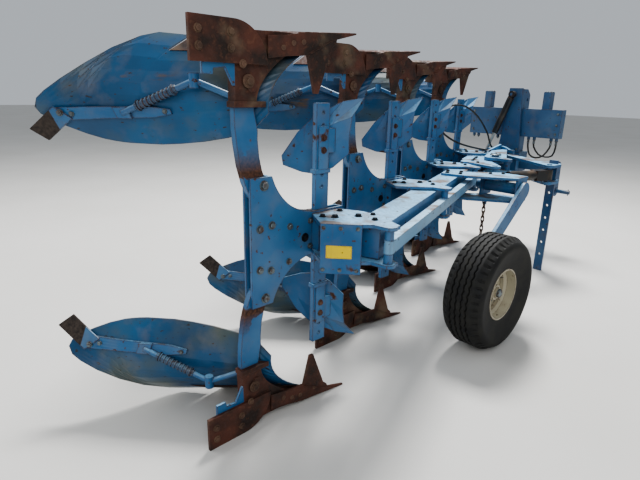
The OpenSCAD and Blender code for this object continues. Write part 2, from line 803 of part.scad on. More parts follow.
// Tube of radius r through a list of points, open or closed to a loop
module sweep(p, r, sides, closed = false) {
  n = len(p);
  last = n - 1;
  ring = [for (i = [0:last])
    let (d = closed ? unit(p[(i + 1) % n] - p[(i + last) % n])
        : unit(p[min(i + 1, last)] - p[max(i - 1, 0)]),
      u = unit(cross(d, [0.31, 0.9, 0.3])), v = cross(d, u))
    for (j = [0:sides - 1]) p[i] + r * (cos(j * 360 / sides) * u + sin(j * 360 / sides) * v)];
  skin = [for (i = [0:closed ? last : last - 1], j = [0:sides - 1])
    let (a = i * sides, b = (i + 1) % n * sides, k = (j + 1) % sides)
    each [[a + j, b + j, a + k], [a + k, b + j, b + k]]];
  caps = closed ? [] : [[for (j = [0:sides - 1]) j], [for (j = [sides - 1:-1:0]) last * sides + j]];
  polyhedron(ring, concat(skin, caps));
}

module hose(points, n) {
  sweep(route(points, n), hose_r, 8);
}

// Routes on the headstock, from the tower's middle
loop_routes = [
  [[45, -160, 1083.6], [45, -160, 1062], [42, -163, 1020], [15, -200, 945], [0, -268, 920],
    [10, -335, 945], [40, -372, 1020], [45, -375, 1062], [45, -375, 1083.6]],
  [[45, -215, 1083.6], [45, -215, 1062], [52, -218, 1015], [90, -255, 945], [105, -320, 925],
    [90, -388, 945], [52, -422, 1015], [45, -425, 1062], [45, -425, 1083.6]]];

module headstock_hoses() {
  color(black) translate([cross_x[0], 0, 0]) for (p = loop_routes) hose(p, 2);
}

frame_route = [[-25.4, 62, 106], [-50, 62, 106], [-100, 62, 108], [-420, 80, 160],
  [-640, 120, 220], [-780, 170, 310], [-780, 195, 430], [-660, 185, 520], [-470, 150, 520],
  [-300, 110, 430], [-190, 60, 290], [-145, 42, 190], [-100, 36, 142], [-50, 35, 136],
  [-25.4, 35, 136]];

module frame_hose() {
  color(black) translate([head_x, 0, beam_z]) hose(frame_route, 3);
}

// Everything is drawn from the turning axis, then moved so that the middle
// of the whole machine's box lies over the origin
tail = strip_edges[3];
tail_rear = tip(4)[0] + behind(tail[0], tail[1], main_face, strip_d + 8)[0];
tail_left = tip(1)[1] + behind(tail[0], tail[2], main_face, strip_d)[1];
box_middle = [(front_x + 10 + tail_rear) / 2, (tail_left + wheel_at[1] - tyre_w / 2) / 2, 0];

module place() {
  translate(-box_middle) children();
}

place() tower();
place() cross_plate();
place() hitch_bar();
place() turn_housing();
place() headstock_hoses();
place() swing_head();
place() lever_arm();
place() frame_hose();
place() parking_stand();
place() turn_cylinder();
place() turn_rod();
place() width_cylinder();
place() width_rod();
place() main_beam();
place() swing_plates();
place() wheel_bracket();
place() chain();
place() control_bar();
place() wheel_arm();
place() tyre();
place() rim();
for (k = [1:4]) {
  place() console(k);
  place() cheeks(k);
  place() legs(k);
  place() boards(k);
  place() shares(k);
  place() landsides(k);
  place() stays(k);
  place() skimmers(k);
}
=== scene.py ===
# %% [markdown]
# # A parked reversible plough
# The machine is a slanting steel beam with four pairs of plough bodies. The lower ones
# stand on the ground and the upper ones are their mirror image.
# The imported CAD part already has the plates, bodies and wheel at their real places, so this
# script only dresses it. It adds the tyre's tread, bolts, clamps, brackets, turnbuckles and
# welds, and it gives each surface the finish that years of work have left on it.

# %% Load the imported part
import math

import bmesh
import bpy
from mathutils import Matrix, Vector

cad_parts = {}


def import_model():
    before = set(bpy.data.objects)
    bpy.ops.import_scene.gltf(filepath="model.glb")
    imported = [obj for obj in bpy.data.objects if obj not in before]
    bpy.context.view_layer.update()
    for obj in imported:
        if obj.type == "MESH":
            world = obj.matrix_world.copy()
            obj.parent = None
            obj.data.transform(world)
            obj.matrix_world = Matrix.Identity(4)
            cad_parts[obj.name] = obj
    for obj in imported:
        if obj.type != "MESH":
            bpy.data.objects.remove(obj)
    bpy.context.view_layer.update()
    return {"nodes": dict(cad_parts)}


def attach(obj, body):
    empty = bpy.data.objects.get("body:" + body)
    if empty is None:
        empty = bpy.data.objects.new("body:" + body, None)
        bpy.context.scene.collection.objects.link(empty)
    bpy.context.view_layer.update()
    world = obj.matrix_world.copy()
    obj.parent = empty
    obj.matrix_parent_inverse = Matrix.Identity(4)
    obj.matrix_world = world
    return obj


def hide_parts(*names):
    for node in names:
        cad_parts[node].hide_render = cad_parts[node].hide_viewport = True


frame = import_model()
print("nodes in the packed part:", len(frame["nodes"]))

# %% [markdown]
# ## Where things are
# All sizes are in millimetres as on a workshop drawing, and one function turns them into
# Blender's metres. Every plough body has the same parts, so a bolt is placed once from the
# share's tip, and a function carries it to each of the four bodies and to its mirror image.

# %% Measures shared by the pieces
MM = 1000.0
# height of the beam's middle, and the angle at which the beam slants across the field
BEAM_Z = 867.0
BEAM_ANGLE = math.radians(19.8)
# distance from one body to the next along the beam
PITCH = 1000.0
# middle of the whole machine on the drawing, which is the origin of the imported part
MIDDLE = Vector((36.4407, -20.2025, 0.0))
FRONT_TIP = Vector((1773.0, 276.0, 0.0))
STEP = Vector((-PITCH * math.cos(BEAM_ANGLE), -PITCH * math.sin(BEAM_ANGLE), 0.0))
BODIES = (1, 2, 3, 4)
# outer faces of the two side plates of a body, counted to the left from the share's tip
CHEEK_Y = 50.0
CHEEK_LEFT_Y = 104.0
# outer faces of the console's plates, above and below the beam's middle
PLATE_TOP = 91.0
# a mouldboard: its angle at the foot, the twist up to its top edge, and the hollow of its face
FOOT_ANGLE, TWIST, BOARD_TOP = 40.0, 11.0, 490.0
HOLLOW_DEPTH, HOLLOW_TOP = 300.0, 330.0
# the machine drives along X, and its left side is towards Y
BACK, LEFT, RIGHT, UP, DOWN = (-1, 0, 0), (0, 1, 0), (0, -1, 0), (0, 0, 1), (0, 0, -1)


def world(x, y, z):
    """A point of the drawing, in metres."""
    return (Vector((x, y, z)) - MIDDLE) / MM


def on_body(k, x, y, z, upper=False):
    """A point given from the share tip of body k, on the lower or the upper side."""
    tip = FRONT_TIP + (k - 1) * STEP
    return world(tip.x + x, tip.y + y, 2 * BEAM_Z - z if upper else z)


def face_point(y, z, behind=0.0):
    """A point on a mouldboard's working face, or behind it, and the way the face looks."""
    angle = math.radians(FOOT_ANGLE + TWIST * z / BOARD_TOP)
    depth = HOLLOW_DEPTH * (1 - (1 - min(z, HOLLOW_TOP) / HOLLOW_TOP) ** 2) / math.sin(angle)
    normal = Vector((math.sin(angle), math.cos(angle), 0.0))
    return Vector((-y / math.tan(angle) - depth, y, z)) - behind * normal, normal


print("first share tip at", [round(v, 3) for v in on_body(1, 0, 0, 0)])

# %% [markdown]
# ## Turned parts
# Caps and the tyre's valve are turned round an axis. Each is a short profile that the spin
# operator carries once round, which is how a lathe makes it. A piece that is needed many
# times is made once at the origin and then copied to its places.

# %% Turned parts
def turned(profile, steps):
    """A solid turned round Z. Its profile of (radius, height) in mm starts and ends at the axis."""
    bm = bmesh.new()
    verts = [bm.verts.new((r / MM, 0.0, h / MM)) for r, h in profile]
    edges = [bm.edges.new(pair) for pair in zip(verts, verts[1:])]
    bmesh.ops.spin(bm, geom=verts + edges, cent=(0, 0, 0), axis=(0, 0, 1), angle=2 * math.pi,
                   steps=steps, use_merge=True)
    bmesh.ops.remove_doubles(bm, verts=bm.verts, dist=1e-6)
    return as_mesh(bm)


def as_mesh(bm):
    """Stores a bmesh as a mesh that can be copied to many places."""
    bmesh.ops.recalc_face_normals(bm, faces=bm.faces)
    mesh = bpy.data.meshes.new("template")
    bm.to_mesh(mesh)
    bm.free()
    return mesh


def turned_to(direction):
    """The rotation that takes +Z to the direction."""
    return Vector(direction).to_track_quat("Z", "Y").to_matrix().to_4x4()


def place(bm, template, at, direction, spin=0.0):
    """Copies a template into a bmesh, with its own Z along the direction."""
    copy = template.copy()
    copy.transform(Matrix.Translation(at) @ turned_to(direction) @ Matrix.Rotation(spin, 4, "Z"))
    bm.from_mesh(copy)
    bpy.data.meshes.remove(copy)


# %% [markdown]
# ## Bolts and nuts
# A bolt head is a six-sided cone with no taper whose upper edges are bevelled. A nut is the
# same head with the end of the bolt standing out of it.

# %% Bolts and nuts
# shares of the head's radius: its bevel, its height, its washer, and the end of its bolt
BEVEL, HEAD_HEIGHT, WASHER, BOLT_END, BOLT_END_HEIGHT = 0.14, 0.7, 1.35, 0.55, 0.8
# in mm: foot and top of a washer, foot of the head, which is sunk in it a little, and how far
# the end of the bolt stands out of the smallest nut
WASHER_FOOT, WASHER_TOP, HEAD_FOOT, BOLT_END_TOP = -0.5, 2.6, 2.0, 8.0
# in mm: foot and top of a worn flat head
FLAT_FOOT, FLAT_TOP = -1.5, 2.2
# a disc is a little smaller at its top
DISC_TAPER = 0.94
# radians that a head is turned for each metre of its place
SPIN_X, SPIN_Z = 37.0, 53.0


def hexagon(bm, r, low, high):
    """Adds a hexagon with its upper edges turned down."""
    made = bmesh.ops.create_cone(bm, cap_ends=True, segments=6, radius1=r / MM, radius2=r / MM,
                                 depth=(high - low) / MM,
                                 matrix=Matrix.Translation((0, 0, (high + low) / 2 / MM)))
    top = [v for v in made["verts"] if v.co.z > low / MM + 1e-5]
    rim = [e for e in bm.edges if e.verts[0] in top and e.verts[1] in top]
    bmesh.ops.bevel(bm, geom=rim, offset=BEVEL * r / MM, offset_type="OFFSET", segments=1,
                    profile=0.5, affect="EDGES", material=-1)


def disc(bm, r, low, high, sides=18):
    """Adds a plain disc or a short bar."""
    bmesh.ops.create_cone(bm, cap_ends=True, segments=sides, radius1=r / MM,
                          radius2=DISC_TAPER * r / MM, depth=(high - low) / MM,
                          matrix=Matrix.Translation((0, 0, (high + low) / 2 / MM)))


templates = {}


def fastener(kind, r):
    """A bolt, a nut or a flat worn head of radius r, made at its first use."""
    if (kind, r) not in templates:
        bm = bmesh.new()
        if kind == "flat":
            disc(bm, r, FLAT_FOOT, FLAT_TOP)
        else:
            disc(bm, WASHER * r, WASHER_FOOT, WASHER_TOP)
            hexagon(bm, r, HEAD_FOOT, WASHER_TOP + HEAD_HEIGHT * r)
        if kind == "nut":
            disc(bm, BOLT_END * r, HEAD_FOOT, BOLT_END_TOP + BOLT_END_HEIGHT * r, 12)
        templates[kind, r] = as_mesh(bm)
    return templates[kind, r]


def fasten(bm, kind, at, direction, r):
    """Puts a fastener at a point. Each is turned a little differently, as on a real machine."""
    place(bm, fastener(kind, r), at, direction, (at.x * SPIN_X + at.z * SPIN_Z) % 1.0)


print("faces of a bolt:", len(fastener("bolt", 14).polygons))

# %% [markdown]
# ## Welds and bars
# A weld by hand is a row of small overlapping drops, and that is how it is made here: one
# flattened ball for every five or six millimetres of seam. A round bar is a cone without
# taper that is laid from one point to another.

# %% Welds and bars
# distance from drop to drop in mm, and how much each is flattened along the seam
DROP_STEP, DROP_LENGTH = 5.5, 0.75


def weld(bm, points, r):
    """Adds a row of drops along a line of points in metres."""
    for a, b in zip(points, points[1:]):
        count = max(1, round((b - a).length * MM / DROP_STEP))
        lie = turned_to(b - a) @ Matrix.Diagonal((1.0, 1.0, DROP_LENGTH, 1.0))
        for i in range(count):
            at = Matrix.Translation(a.lerp(b, i / count)) @ lie
            bmesh.ops.create_icosphere(bm, subdivisions=1, radius=r / MM, matrix=at)


def arc(centre, r, start, end, steps=20):
    """Points in metres on an upright circle in the X-Z plane, angles in degrees."""
    turn = [math.radians(start + (end - start) * i / steps) for i in range(steps + 1)]
    return [centre + Vector((r * math.cos(a), 0.0, r * math.sin(a))) / MM for a in turn]


def bar(bm, a, b, r, sides=16):
    """Adds a round bar from a to b, both in metres."""
    bmesh.ops.create_cone(bm, cap_ends=True, segments=sides, radius1=r / MM, radius2=r / MM,
                          depth=(b - a).length,
                          matrix=Matrix.Translation((a + b) / 2) @ turned_to(b - a))


def block(bm, at, size, turn=None):
    """Adds a box with its middle at a point in metres, its size in mm."""
    scale = Matrix.Diagonal([s / MM for s in size] + [1.0])
    bmesh.ops.create_cube(bm, size=1.0, matrix=Matrix.Translation(at) @ (turn or Matrix()) @ scale)


def finished(name, bm, body, material, smooth_angle=0.6):
    """Turns a bmesh into an object that rides on a body, or on none if it is part of the stage."""
    bmesh.ops.recalc_face_normals(bm, faces=bm.faces)
    mesh = bpy.data.meshes.new(name)
    bm.to_mesh(mesh)
    bm.free()
    obj = bpy.data.objects.new(name, mesh)
    bpy.context.scene.collection.objects.link(obj)
    mesh.materials.append(material)
    mesh.shade_smooth()
    mesh.set_sharp_from_angle(angle=smooth_angle)
    if body:
        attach(obj, body)
        print(name, "has", len(mesh.polygons), "faces")
    return obj


# %% [markdown]
# ## Tools for materials
# Every finish is built from nodes. One function adds a node, sets its inputs and makes its
# links, so a whole material reads as a short recipe.

# %% Material helpers
def colour(hex_code):
    """An sRGB hex colour as the linear values that the shaders take."""
    parts = [int(hex_code[i:i + 2], 16) / 255.0 for i in (1, 3, 5)]
    return tuple(c / 12.92 if c <= 0.04045 else ((c + 0.055) / 1.055) ** 2.4 for c in parts) + (1.0,)


def add(tree, kind, inputs=None, **settings):
    """Adds a node. An input that is a socket is linked, any other value is set."""
    node = tree.nodes.new("ShaderNode" + kind)
    for key, value in settings.items():
        setattr(node, key, value)
    for key, value in (inputs or {}).items():
        if isinstance(value, bpy.types.NodeSocket):
            tree.links.new(value, node.inputs[key])
        else:
            node.inputs[key].default_value = value
    return node


def mix(tree, factor, a, b):
    """Mixes two colours, each a socket or a colour."""
    node = add(tree, "Mix", {0: factor, 6: a, 7: b}, data_type="RGBA")
    return node.outputs[2]


def noise(tree, scale, detail, stretch=(1.0, 1.0, 1.0), seed=0.0):
    """Noise in the piece's own coordinates. The scale counts features per metre."""
    coord = add(tree, "TexCoord").outputs["Object"]
    spread = add(tree, "Mapping", {"Vector": coord, "Scale": stretch, "Location": (seed, seed, seed)})
    cloud = add(tree, "TexNoise", {"Vector": spread.outputs[0], "Scale": scale, "Detail": detail})
    return cloud.outputs["Fac"]


def between(tree, value, low, high, to_low=0.0, to_high=1.0):
    """Spreads the range from low to high out over another range."""
    return add(tree, "MapRange", {"Value": value, "From Min": low, "From Max": high,
                                  "To Min": to_low, "To Max": to_high}).outputs[0]


def maths(tree, operation, a, b=0.0):
    """One step of arithmetic between sockets or numbers."""
    return add(tree, "Math", {0: a, 1: b}, operation=operation).outputs[0]


def shell_of(name):
    """A new material with its principled shader."""
    material = bpy.data.materials.new(name)
    material.use_nodes = True
    tree = material.node_tree
    return material, tree, tree.nodes["Principled BSDF"]


def edges_of(tree, radius):
    """How close a point is to a sharp edge, from 0 to 1, and the softened normal there.
    The closeness reaches twice as far as the softening, as wear does."""
    soft = add(tree, "Bevel", {"Radius": radius}, samples=4).outputs[0]
    wide = add(tree, "Bevel", {"Radius": 2 * radius}, samples=4).outputs[0]
    hard = add(tree, "NewGeometry").outputs["Normal"]
    dot = add(tree, "VectorMath", {0: wide, 1: hard}, operation="DOT_PRODUCT").outputs["Value"]
    return between(tree, dot, 0.995, 0.78), soft


def facing(tree, direction, low, high):
    """How far a surface looks in a direction, from 0 to 1."""
    normal = add(tree, "TexCoord").outputs["Normal"]
    dot = add(tree, "VectorMath", {0: normal, 1: direction}, operation="DOT_PRODUCT").outputs["Value"]
    return between(tree, dot, low, high)


def connect(tree, shader, base, rough, height, normal=None, strength=0.25, distance=0.001):
    """Links colour, roughness and a bump to the shader."""
    tree.links.new(base, shader.inputs["Base Color"])
    tree.links.new(rough, shader.inputs["Roughness"])
    inputs = {"Strength": strength, "Distance": distance, "Height": height}
    if normal:
        inputs["Normal"] = normal
    tree.links.new(add(tree, "Bump", inputs).outputs[0], shader.inputs["Normal"])


# %% [markdown]
# ## Worn paint
# The machine was painted blue. The headstock's parts and the parking stand get a darker copy of
# that blue, which is painted shade. The paint is chalky where the sun reaches it, chipped at the
# edges, and stained by rust that runs down. The legs have lost it in patches, and the strips
# behind the mouldboards are bare. Each of these is a mask from a noise of the right size, and
# the masks choose between paint and rust.
# A bevel in the shader gives the edges their small radius without any more mesh.

# %% Paint recipe
# thresholds of the masks: how upright a surface that the sun bleaches and dirt lies on looks
SUN_FROM, SUN_FULL = 0.35, 0.95
# heights above or below the beam's middle between which a leg is rubbed, in metres
RUBBED_IN, RUBBED_IN_FULL, RUBBED_OUT_FULL, RUBBED_OUT = 0.26, 0.29, 0.31, 0.42


def worn_paint(name, paint, faded, chips=0.5, fade=0.6, rough=0.45, tail=None, rubbed=False):
    """Painted steel with fading, chips, rust runs and dust. Left of its tail, a distance in mm
    across the beam from the front share's tip, it is bare dark steel. A rubbed leg has lost
    its paint in patches beside the tips of the side plates."""
    material, tree, shader = shell_of(name)
    edge, soft = edges_of(tree, 0.004)
    # chalky clouds, and what the sun has bleached on top
    cloud = between(tree, noise(tree, 4.0, 5.0), 0.3, 0.7, 0.0, 0.14)
    base = mix(tree, cloud, colour(paint), colour(faded))
    fine = noise(tree, 60.0, 8.0, seed=3.0)
    sun = maths(tree, "MULTIPLY", facing(tree, UP, SUN_FROM, SUN_FULL),
                between(tree, fine, 0.25, 0.6, 0.5 * fade, fade))
    base = mix(tree, sun, base, colour(faded))
    # dust everywhere, and dirt that lies on what looks up
    dust = between(tree, noise(tree, 9.0, 8.0, seed=7.0), 0.50, 0.78, 0.0, 0.30)
    base = mix(tree, dust, base, colour("#7d6c55"))
    rust_tone = mix(tree, between(tree, noise(tree, 90.0, 6.0), 0.35, 0.65),
                    colour("#33211a"), colour("#5e3d2b"))
    lying = maths(tree, "MULTIPLY", facing(tree, UP, SUN_FROM, SUN_FULL),
                  between(tree, noise(tree, 7.5, 9.0, seed=61.0), 0.50, 0.62, 0.0, 1.2 * fade))
    base = mix(tree, lying, base, colour("#6b5643"))
    # rust that has run down
    runs = noise(tree, 30.0, 6.0, stretch=(1.0, 1.0, 0.08), seed=17.0)
    base = mix(tree, between(tree, runs, 0.64, 0.82, 0.0, 0.5), base, rust_tone)
    # bare steel: small chips, larger patches and broken edges
    spots = between(tree, noise(tree, 38.0, 10.0, seed=11.0), 0.675 - 0.05 * chips, 0.70)
    patch = between(tree, noise(tree, 7.0, 9.0, seed=23.0), 0.70 - 0.04 * chips, 0.71)
    rim = maths(tree, "MULTIPLY", edge,
                between(tree, noise(tree, 25.0, 9.0, seed=5.0), 0.40 - 0.14 * chips, 0.50))
    chipped = maths(tree, "MAXIMUM", maths(tree, "MAXIMUM", spots, patch), rim)
    bare = maths(tree, "MINIMUM", chipped, 1.0)
    if tail is not None:
        across = (math.sin(BEAM_ANGLE) * -1.0, math.cos(BEAM_ANGLE), 0.0)
        start = on_body(1, 0, 0, 0).dot(Vector(across)) + tail / MM
        place_at = add(tree, "TexCoord").outputs["Object"]
        reach = add(tree, "VectorMath", {0: place_at, 1: across}, operation="DOT_PRODUCT")
        strip = between(tree, reach.outputs["Value"], start, start + 0.004)
        bare = maths(tree, "MAXIMUM", bare, strip)
        strip_tone = mix(tree, between(tree, fine, 0.3, 0.7), colour("#211b18"), colour("#463c35"))
        rust_tone = mix(tree, strip, rust_tone, strip_tone)
    if rubbed:
        coord = add(tree, "TexCoord").outputs["Object"]
        upright = add(tree, "SeparateXYZ", {0: coord}).outputs["Z"]
        off = maths(tree, "ABSOLUTE", maths(tree, "SUBTRACT", upright, BEAM_Z / MM))
        near = maths(tree, "MULTIPLY", between(tree, off, RUBBED_OUT, RUBBED_OUT_FULL),
                     between(tree, off, RUBBED_IN, RUBBED_IN_FULL))
        patchy = maths(tree, "ADD", noise(tree, 8.0, 5.0, seed=43.0), maths(tree, "MULTIPLY", near, 0.2))
        worn_off = maths(tree, "MULTIPLY", near, between(tree, patchy, 0.59, 0.61))
        bare = maths(tree, "MAXIMUM", bare, worn_off)
    base = mix(tree, bare, base, rust_tone)
    grain = maths(tree, "SUBTRACT", maths(tree, "MULTIPLY", noise(tree, 140.0, 4.0), 0.25), bare)
    connect(tree, shader, base, between(tree, bare, 0.0, 1.0, rough, 0.85), grain, soft)
    return material


blue = worn_paint("blue_paint", "#17527f", "#92c6e4", fade=0.75)
# a darker copy of the blue paint: painted shade on the headstock's parts and the parking stand
shaded_blue = worn_paint("shaded_blue_paint", "#0f4068", "#8db3ca", fade=0.65)
leg_paint = worn_paint("leg_paint", "#17527f", "#92c6e4", chips=0.8, fade=0.75, rubbed=True)
stay_paint = worn_paint("stay_paint", "#17527f", "#92c6e4", chips=0.7, tail=1003.0)
sleeve_paint = worn_paint("sleeve_paint", "#1a4a6c", "#8fb4c6", chips=2.0, fade=0.5)
pale = worn_paint("pale_paint", "#5d8cad", "#a9d0e8", chips=0.4, fade=0.85)
black = worn_paint("black_paint", "#141517", "#3c3d3e", chips=0.2, fade=0.5, rough=0.35)
ivory = worn_paint("rim_paint", "#a39d88", "#d2ccb8", chips=0.7, fade=0.3)
yellow = worn_paint("plate_yellow", "#dcbf17", "#e6d35a", chips=0.1, fade=0.3)
print("paints:", [m.name for m in (blue, shaded_blue, leg_paint, stay_paint, sleeve_paint, pale, black,
                                   ivory, yellow)])

# %% [markdown]
# ## Soil-worn steel
# Soil scours a mouldboard and a share in long streaks from the front to the back, and what
# isn't scoured rusts. The boards still have much of their paint, most of it on their backs,
# so their recipe asks which way the surface looks. Shares and landsides are rust all over.

# %% Rust
def rusty_steel(name, dark="#261812", mid="#522d20", light="#745040", shine=0.0):
    """Steel that has stood outside: dark rust, lighter bloom, dried soil and small pits."""
    material, tree, shader = shell_of(name)
    edge, soft = edges_of(tree, 0.003)
    big = noise(tree, 9.0, 8.0)
    small = noise(tree, 60.0, 9.0, seed=4.0)
    base = mix(tree, between(tree, big, 0.38, 0.62), colour(dark), colour(mid))
    base = mix(tree, between(tree, small, 0.55, 0.75, 0.0, 0.45), base, colour(light))
    base = mix(tree, maths(tree, "MULTIPLY", edge, 0.3), base, colour(light))
    soil = between(tree, noise(tree, 6.0, 9.0, seed=9.0), 0.54, 0.70, 0.0, 0.45)
    base = mix(tree, soil, base, colour("#7f6f58"))
    shader.inputs["Metallic"].default_value = shine
    height = maths(tree, "ADD", small, maths(tree, "MULTIPLY", noise(tree, 260.0, 5.0), 0.5))
    connect(tree, shader, base, between(tree, small, 0.3, 0.7, 0.62, 0.9), height, soft, 0.45, 0.0014)
    return material


rust = rusty_steel("rusty_steel")
worn_steel = rusty_steel("worn_bolt_steel", "#3a2a23", "#6a5041", "#8d745f", 0.3)
chain_rust = rusty_steel("chain_steel", "#2e211b", "#51392c", "#7d6453", 0.3)
print("rusty steels:", [m.name for m in (rust, worn_steel, chain_rust)])

# %% [markdown]
# ## Mouldboards
# The working face looks forward and to the left. There the streaks of scoured steel are wide
# and long, and on the back only flecks and rusty edges show.

# %% Worn boards
def worn_board():
    """A mouldboard: blue paint, scoured to brown steel in streaks along the soil's way."""
    material, tree, shader = shell_of("board_steel")
    edge, soft = edges_of(tree, 0.004)
    cloud = between(tree, noise(tree, 3.0, 6.0), 0.3, 0.7)
    base = mix(tree, cloud, colour("#0b3a5c"), colour("#175680"))
    stain = between(tree, noise(tree, 2.6, 5.0, seed=27.0), 0.47, 0.64, 0.0, 0.75)
    base = mix(tree, stain, base, colour("#4f5648"))
    flecks = noise(tree, 48.0, 7.0, stretch=(0.8, 0.8, 1.6), seed=51.0)
    base = mix(tree, between(tree, flecks, 0.655, 0.68, 0.0, 0.9), base, colour("#2a211c"))
    # the front is scoured more than the back
    front = facing(tree, (0.7, 0.7, 0.0), 0.0, 0.3)
    patch = maths(tree, "ADD", noise(tree, 5.0, 10.0, stretch=(1.0, 1.0, 1.9), seed=21.0),
                  between(tree, front, 0.0, 1.0, -0.05, 0.17))
    streak = between(tree, noise(tree, 40.0, 8.0, stretch=(0.25, 0.25, 2.0), seed=2.0), 0.34, 0.62)
    worn = maths(tree, "MULTIPLY", between(tree, patch, 0.60, 0.68), streak)
    rim = maths(tree, "MULTIPLY", edge, between(tree, noise(tree, 18.0, 8.0), 0.30, 0.5))
    worn = maths(tree, "MAXIMUM", worn, rim)
    base = mix(tree, worn, base, mix(tree, streak, colour("#33261e"), colour("#66523f")))
    dust = between(tree, noise(tree, 8.0, 8.0, seed=31.0), 0.55, 0.8, 0.0, 0.3)
    base = mix(tree, dust, base, colour("#8c7a60"))
    tree.links.new(between(tree, worn, 0.0, 1.0, 0.0, 0.35), shader.inputs["Metallic"])
    height = maths(tree, "SUBTRACT", maths(tree, "MULTIPLY", noise(tree, 120.0, 5.0), 0.3), worn)
    connect(tree, shader, base, between(tree, worn, 0.0, 1.0, 0.42, 0.68), height, soft)
    return material


board = worn_board()
print("material of the boards:", board.name)

# %% [markdown]
# ## Rubber, rods and bolts
# The tyre is dull rubber with dry soil on it. The cylinder rods are bright steel with brown
# stains, and the bolts are zinc that has begun to rust. Those of the consoles are darker.

# %% Rubber and steel
def rubber(name, base, dusty, dust_amount, rough):
    """Dull rubber with dust that collects in patches."""
    material, tree, shader = shell_of(name)
    dust = between(tree, noise(tree, 14.0, 8.0), 0.35, 0.75, 0.0, dust_amount)
    connect(tree, shader, mix(tree, dust, colour(base), colour(dusty)),
            between(tree, dust, 0.0, 1.0, rough, 0.95), noise(tree, 220.0, 4.0), None, 0.2)
    return material


def bright_steel(name, base, stain, amount, rough):
    """Bare or plated steel with brown stains."""
    material, tree, shader = shell_of(name)
    mask = between(tree, noise(tree, 55.0, 8.0), 0.48, 0.66, 0.0, amount)
    tree.links.new(between(tree, mask, 0.0, 1.0, 0.85, 0.2), shader.inputs["Metallic"])
    connect(tree, shader, mix(tree, mask, colour(base), colour(stain)),
            between(tree, mask, 0.0, 1.0, rough, 0.8), noise(tree, 300.0, 3.0), None, 0.15, 0.0005)
    return material


tyre_rubber = rubber("tyre_rubber", "#08080a", "#45443a", 0.28, 0.75)
hose_rubber = rubber("hose_rubber", "#101010", "#57524a", 0.25, 0.5)
rod = bright_steel("rod_steel", "#a9a7a2", "#6a5544", 0.5, 0.28)
zinc = bright_steel("bolt_steel", "#6e777a", "#4a3023", 0.9, 0.45)
dark_steel = bright_steel("dark_bolt_steel", "#2c3338", "#3d2a21", 0.7, 0.5)
print("rubber and bright steel:", [m.name for m in (tyre_rubber, hose_rubber, rod, zinc, dark_steel)])

# %% [markdown]
# ## Which piece has which finish
# The CAD pieces keep their shape, and only their material is set. Pieces of a body are named
# with the number of the body, so the part of the name before it is enough to find them.

# %% Finishes of the imported pieces
# the headstock's parts and the parking stand take the darker blue, which is painted shade
finishes = {"tower": shaded_blue, "cross_plate": shaded_blue, "turn_housing": shaded_blue,
            "hitch_bar": shaded_blue, "parking_stand": shaded_blue, "boards": board, "legs": leg_paint,
            "shares": rust, "landsides": rust, "stays": stay_paint, "control_bar": pale,
            "turn_cylinder": black, "width_cylinder": black, "turn_rod": rod, "width_rod": rod,
            "headstock_hoses": hose_rubber, "frame_hose": hose_rubber, "chain": chain_rust,
            "rim": ivory, "tyre": tyre_rubber}
in_blue = 0
for node_name, obj in frame["nodes"].items():
    family = node_name.rstrip("_1234")
    obj.data.materials.clear()
    obj.data.materials.append(finishes.get(family, blue))
    in_blue += family not in finishes
print("pieces in blue paint:", in_blue)

# %% [markdown]
# ## The depth wheel
# The tyre has a block tread: four zigzag grooves round the crown and short slots in the
# shoulders. Its section is spun round the axle in many small steps, and each point that lies
# in a groove is then drawn in by the depth of the tread. The CAD tyre gives the outer form.

# %% Tyre with tread
TYRE_R = 352.0
WHEEL = world(-50.3212, -995.107, TYRE_R)
STEPS = 360
# the tread repeats after this angle
TREAD = math.radians(7.5)
# zigzag grooves: places across the crown, swing to each side, half the width, depth
GROOVES_Y, ZIGZAG, GROOVE_HALF, GROOVE_DEPTH = (17.0, 50.0), 4.0, 3.7, 9.0
# shoulder slots: from and to across the tyre, share of the tread's step, depth
SLOT_FROM, SLOT_TO, SLOT_SHARE, SLOT_DEPTH = 74.0, 112.0, 0.3, 7.0
# the tread reaches in to this radius, in metres
TREAD_FOOT = 0.325


def groove(angle, y):
    """Depth of the tread's grooves at an angle round the tyre and a place across it."""
    # a zigzag from -1 to 1
    wave = abs((angle / TREAD) % 1.0 - 0.5) * 4.0 - 1.0
    slot = (angle / TREAD + (0.5 if y > 0 else 0.0)) % 1.0
    if min(abs(abs(y) - middle - ZIGZAG * wave) for middle in GROOVES_Y) < GROOVE_HALF:
        return GROOVE_DEPTH
    return SLOT_DEPTH if SLOT_FROM < abs(y) < SLOT_TO and slot < SLOT_SHARE else 0.0


# columns of the section: radius, place across the tyre
sidewall = [(161.0, 93.0), (175.0, 95.0), (186.0, 96.0), (215.0, 103.5), (250.0, 113.0), (275.0, 120.0)]
shoulder = [(292.0 + 45.0 * math.sin(math.radians(a)), 80.0 + 45.0 * math.cos(math.radians(a)))
            for a in (0, 15, 30, 45, 60, 72)]
crown = [(339.0, 87.0), (345.0, 79.0), (350.0, 72.0)] + [(352.0, 68.0 - 2.5 * i) for i in range(28)]
half_section = sidewall + shoulder + crown
section = [(r, -y) for r, y in half_section] + [(r, y) for r, y in reversed(half_section)]

bm = bmesh.new()
verts = [bm.verts.new((0.0, y / MM, -r / MM)) for r, y in section]
edges = [bm.edges.new(pair) for pair in zip(verts, verts[1:] + verts[:1])]
bmesh.ops.spin(bm, geom=verts + edges, cent=(0, 0, 0), axis=(0, 1, 0), angle=2 * math.pi,
               steps=STEPS, use_merge=True)
for v in bm.verts:
    r = math.hypot(v.co.x, v.co.z)
    depth = groove(math.atan2(v.co.x, -v.co.z), v.co.y * MM) / MM if r > TREAD_FOOT else 0.0
    v.co.x *= 1 - depth / r
    v.co.z *= 1 - depth / r
bmesh.ops.translate(bm, verts=bm.verts, vec=WHEEL)
tyre = finished("tyre_tread", bm, "wheel", tyre_rubber, 0.5)
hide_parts("tyre")

